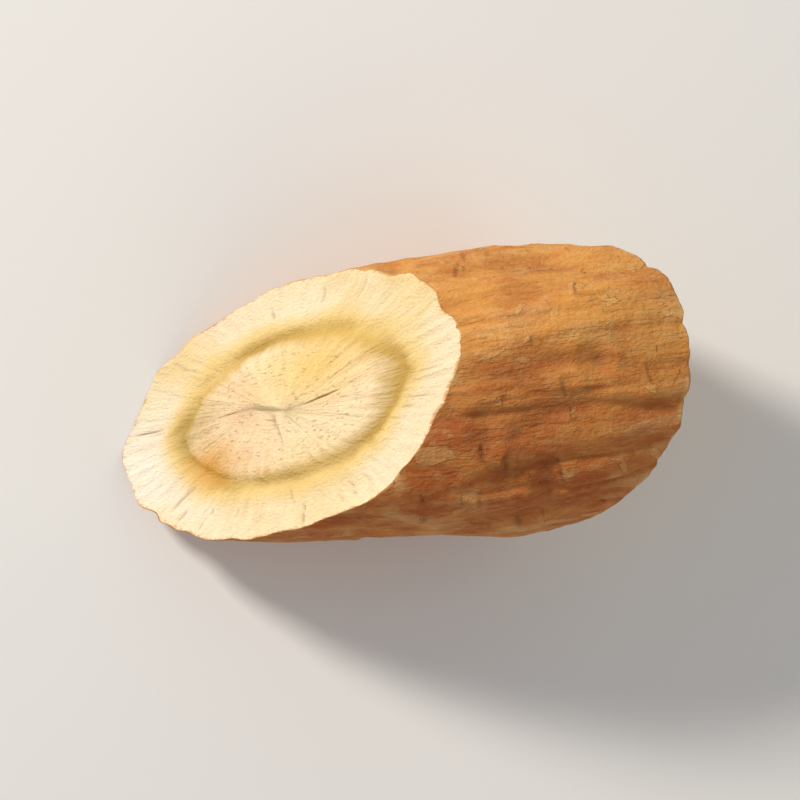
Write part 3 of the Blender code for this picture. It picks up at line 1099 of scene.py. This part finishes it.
class OBJECT_OT_cut_root_piece(bpy.types.Operator):
    """Build the cut piece of root with its bark, cut faces and torn fibres"""

    bl_idname = "object.cut_root_piece"
    bl_label = "Cut Root Piece"

    def execute(self, context):
        shape = context.scene.cut_root_shape
        colours = context.scene.cut_root_colours
        mesh = root_mesh(shape)
        for made in (bark_material, cut_material, fibre_material):
            mesh.materials.append(made(colours))
        piece = bpy.data.objects.new("cut_root", mesh)
        context.scene.collection.objects.link(piece)
        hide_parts("root_piece")
        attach(piece, "root")
        return {"FINISHED"}


def area_light(name, place, target, size, power, colour):
    """A soft square light that shines from a place towards a target, in metres."""
    light = bpy.data.lights.new(name, "AREA")
    light.size = size
    light.energy = power
    light.color = colour
    holder = bpy.data.objects.new(name, light)
    holder.location = place
    holder.rotation_euler = (target - place).to_track_quat("-Z", "Y").to_euler()
    bpy.context.scene.collection.objects.link(holder)


class SCENE_OT_cut_root_studio(bpy.types.Operator):
    """Set up the pale floor, the soft lights and the camera that looks straight down"""

    bl_idname = "scene.cut_root_studio"
    bl_label = "Root Studio"

    def execute(self, context):
        studio = context.scene.cut_root_studio
        low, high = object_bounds()
        centre = (low + high) / 2
        length = high.x - low.x
        self.add_floor(context, studio, low.z)
        for light, power in zip(LIGHTS, (studio.key_power, studio.fill_power)):
            name, way, distance, size, colour = light
            area_light(name, centre + way.normalized() * distance, centre, size, power, colour)
        self.add_sky(context, studio)
        self.add_camera(context, studio, centre, length)
        context.scene.view_settings.view_transform = "Standard"
        return {"FINISHED"}

    def add_floor(self, context, studio, height):
        bm = bmesh.new()
        bmesh.ops.create_grid(bm, x_segments=1, y_segments=1, size=FLOOR_HALF_WIDTH)
        mesh = bpy.data.meshes.new("pale floor")
        bm.to_mesh(mesh)
        bm.free()
        material, tree, shader = new_material("Matt Pale Floor")
        set_inputs(tree, shader, {"Base Color": studio.floor_colour, "Roughness": 0.9})
        mesh.materials.append(material)
        floor = bpy.data.objects.new("pale floor", mesh)
        floor.location.z = height
        context.scene.collection.objects.link(floor)
        floor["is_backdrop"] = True

    def add_sky(self, context, studio):
        world = bpy.data.worlds.new("even light")
        world.use_nodes = True
        sky = world.node_tree.nodes["Background"]
        sky.inputs["Color"].default_value = SKY_COLOUR
        sky.inputs["Strength"].default_value = studio.sky_strength
        context.scene.world = world

    def add_camera(self, context, studio, centre, length):
        camera = bpy.data.cameras.new("straight down")
        camera.sensor_width = SENSOR_WIDTH
        camera.lens = SENSOR_WIDTH * CAMERA_DISTANCE * studio.picture_share / length
        camera.clip_start = 0.005
        camera.clip_end = 2.0
        holder = bpy.data.objects.new("straight down", camera)
        holder.matrix_world = (
            Matrix.Translation(centre + Vector((0.0, 0.0, CAMERA_DISTANCE)))
            @ Matrix.Rotation(-studio.camera_roll, 4, "Z")
        )
        context.scene.collection.objects.link(holder)
        context.scene.camera = holder


class VIEW3D_PT_cut_root(bpy.types.Panel):
    """Lists the root's settings and the operators that build it"""

    bl_label = "Cut Astragalus Root"
    bl_idname = "VIEW3D_PT_cut_root"
    bl_space_type = "VIEW_3D"
    bl_region_type = "UI"
    bl_category = "Root"

    def draw(self, context):
        for settings, operator in (
            (("cut_root_shape", "cut_root_colours"), OBJECT_OT_cut_root_piece),
            (("cut_root_studio",), SCENE_OT_cut_root_studio),
        ):
            box = self.layout.box()
            for name in settings:
                group = getattr(context.scene, name)
                for key in group.bl_rna.properties.keys():
                    if key not in ("rna_type", "name"):
                        box.prop(group, key)
            box.operator(operator.bl_idname)


CLASSES = (
    RootShapeSettings,
    RootColourSettings,
    RootStudioSettings,
    OBJECT_OT_cut_root_piece,
    SCENE_OT_cut_root_studio,
    VIEW3D_PT_cut_root,
)
SCENE_SETTINGS = {
    "cut_root_shape": RootShapeSettings,
    "cut_root_colours": RootColourSettings,
    "cut_root_studio": RootStudioSettings,
}


def register():
    for made in CLASSES:
        bpy.utils.register_class(made)
    for name, group in SCENE_SETTINGS.items():
        setattr(bpy.types.Scene, name, bpy.props.PointerProperty(type=group))


def unregister():
    for name in SCENE_SETTINGS:
        delattr(bpy.types.Scene, name)
    for made in reversed(CLASSES):
        bpy.utils.unregister_class(made)


def main():
    register()
    bpy.ops.object.cut_root_piece()
    bpy.ops.scene.cut_root_studio()


if __name__ == "__main__":
    main()
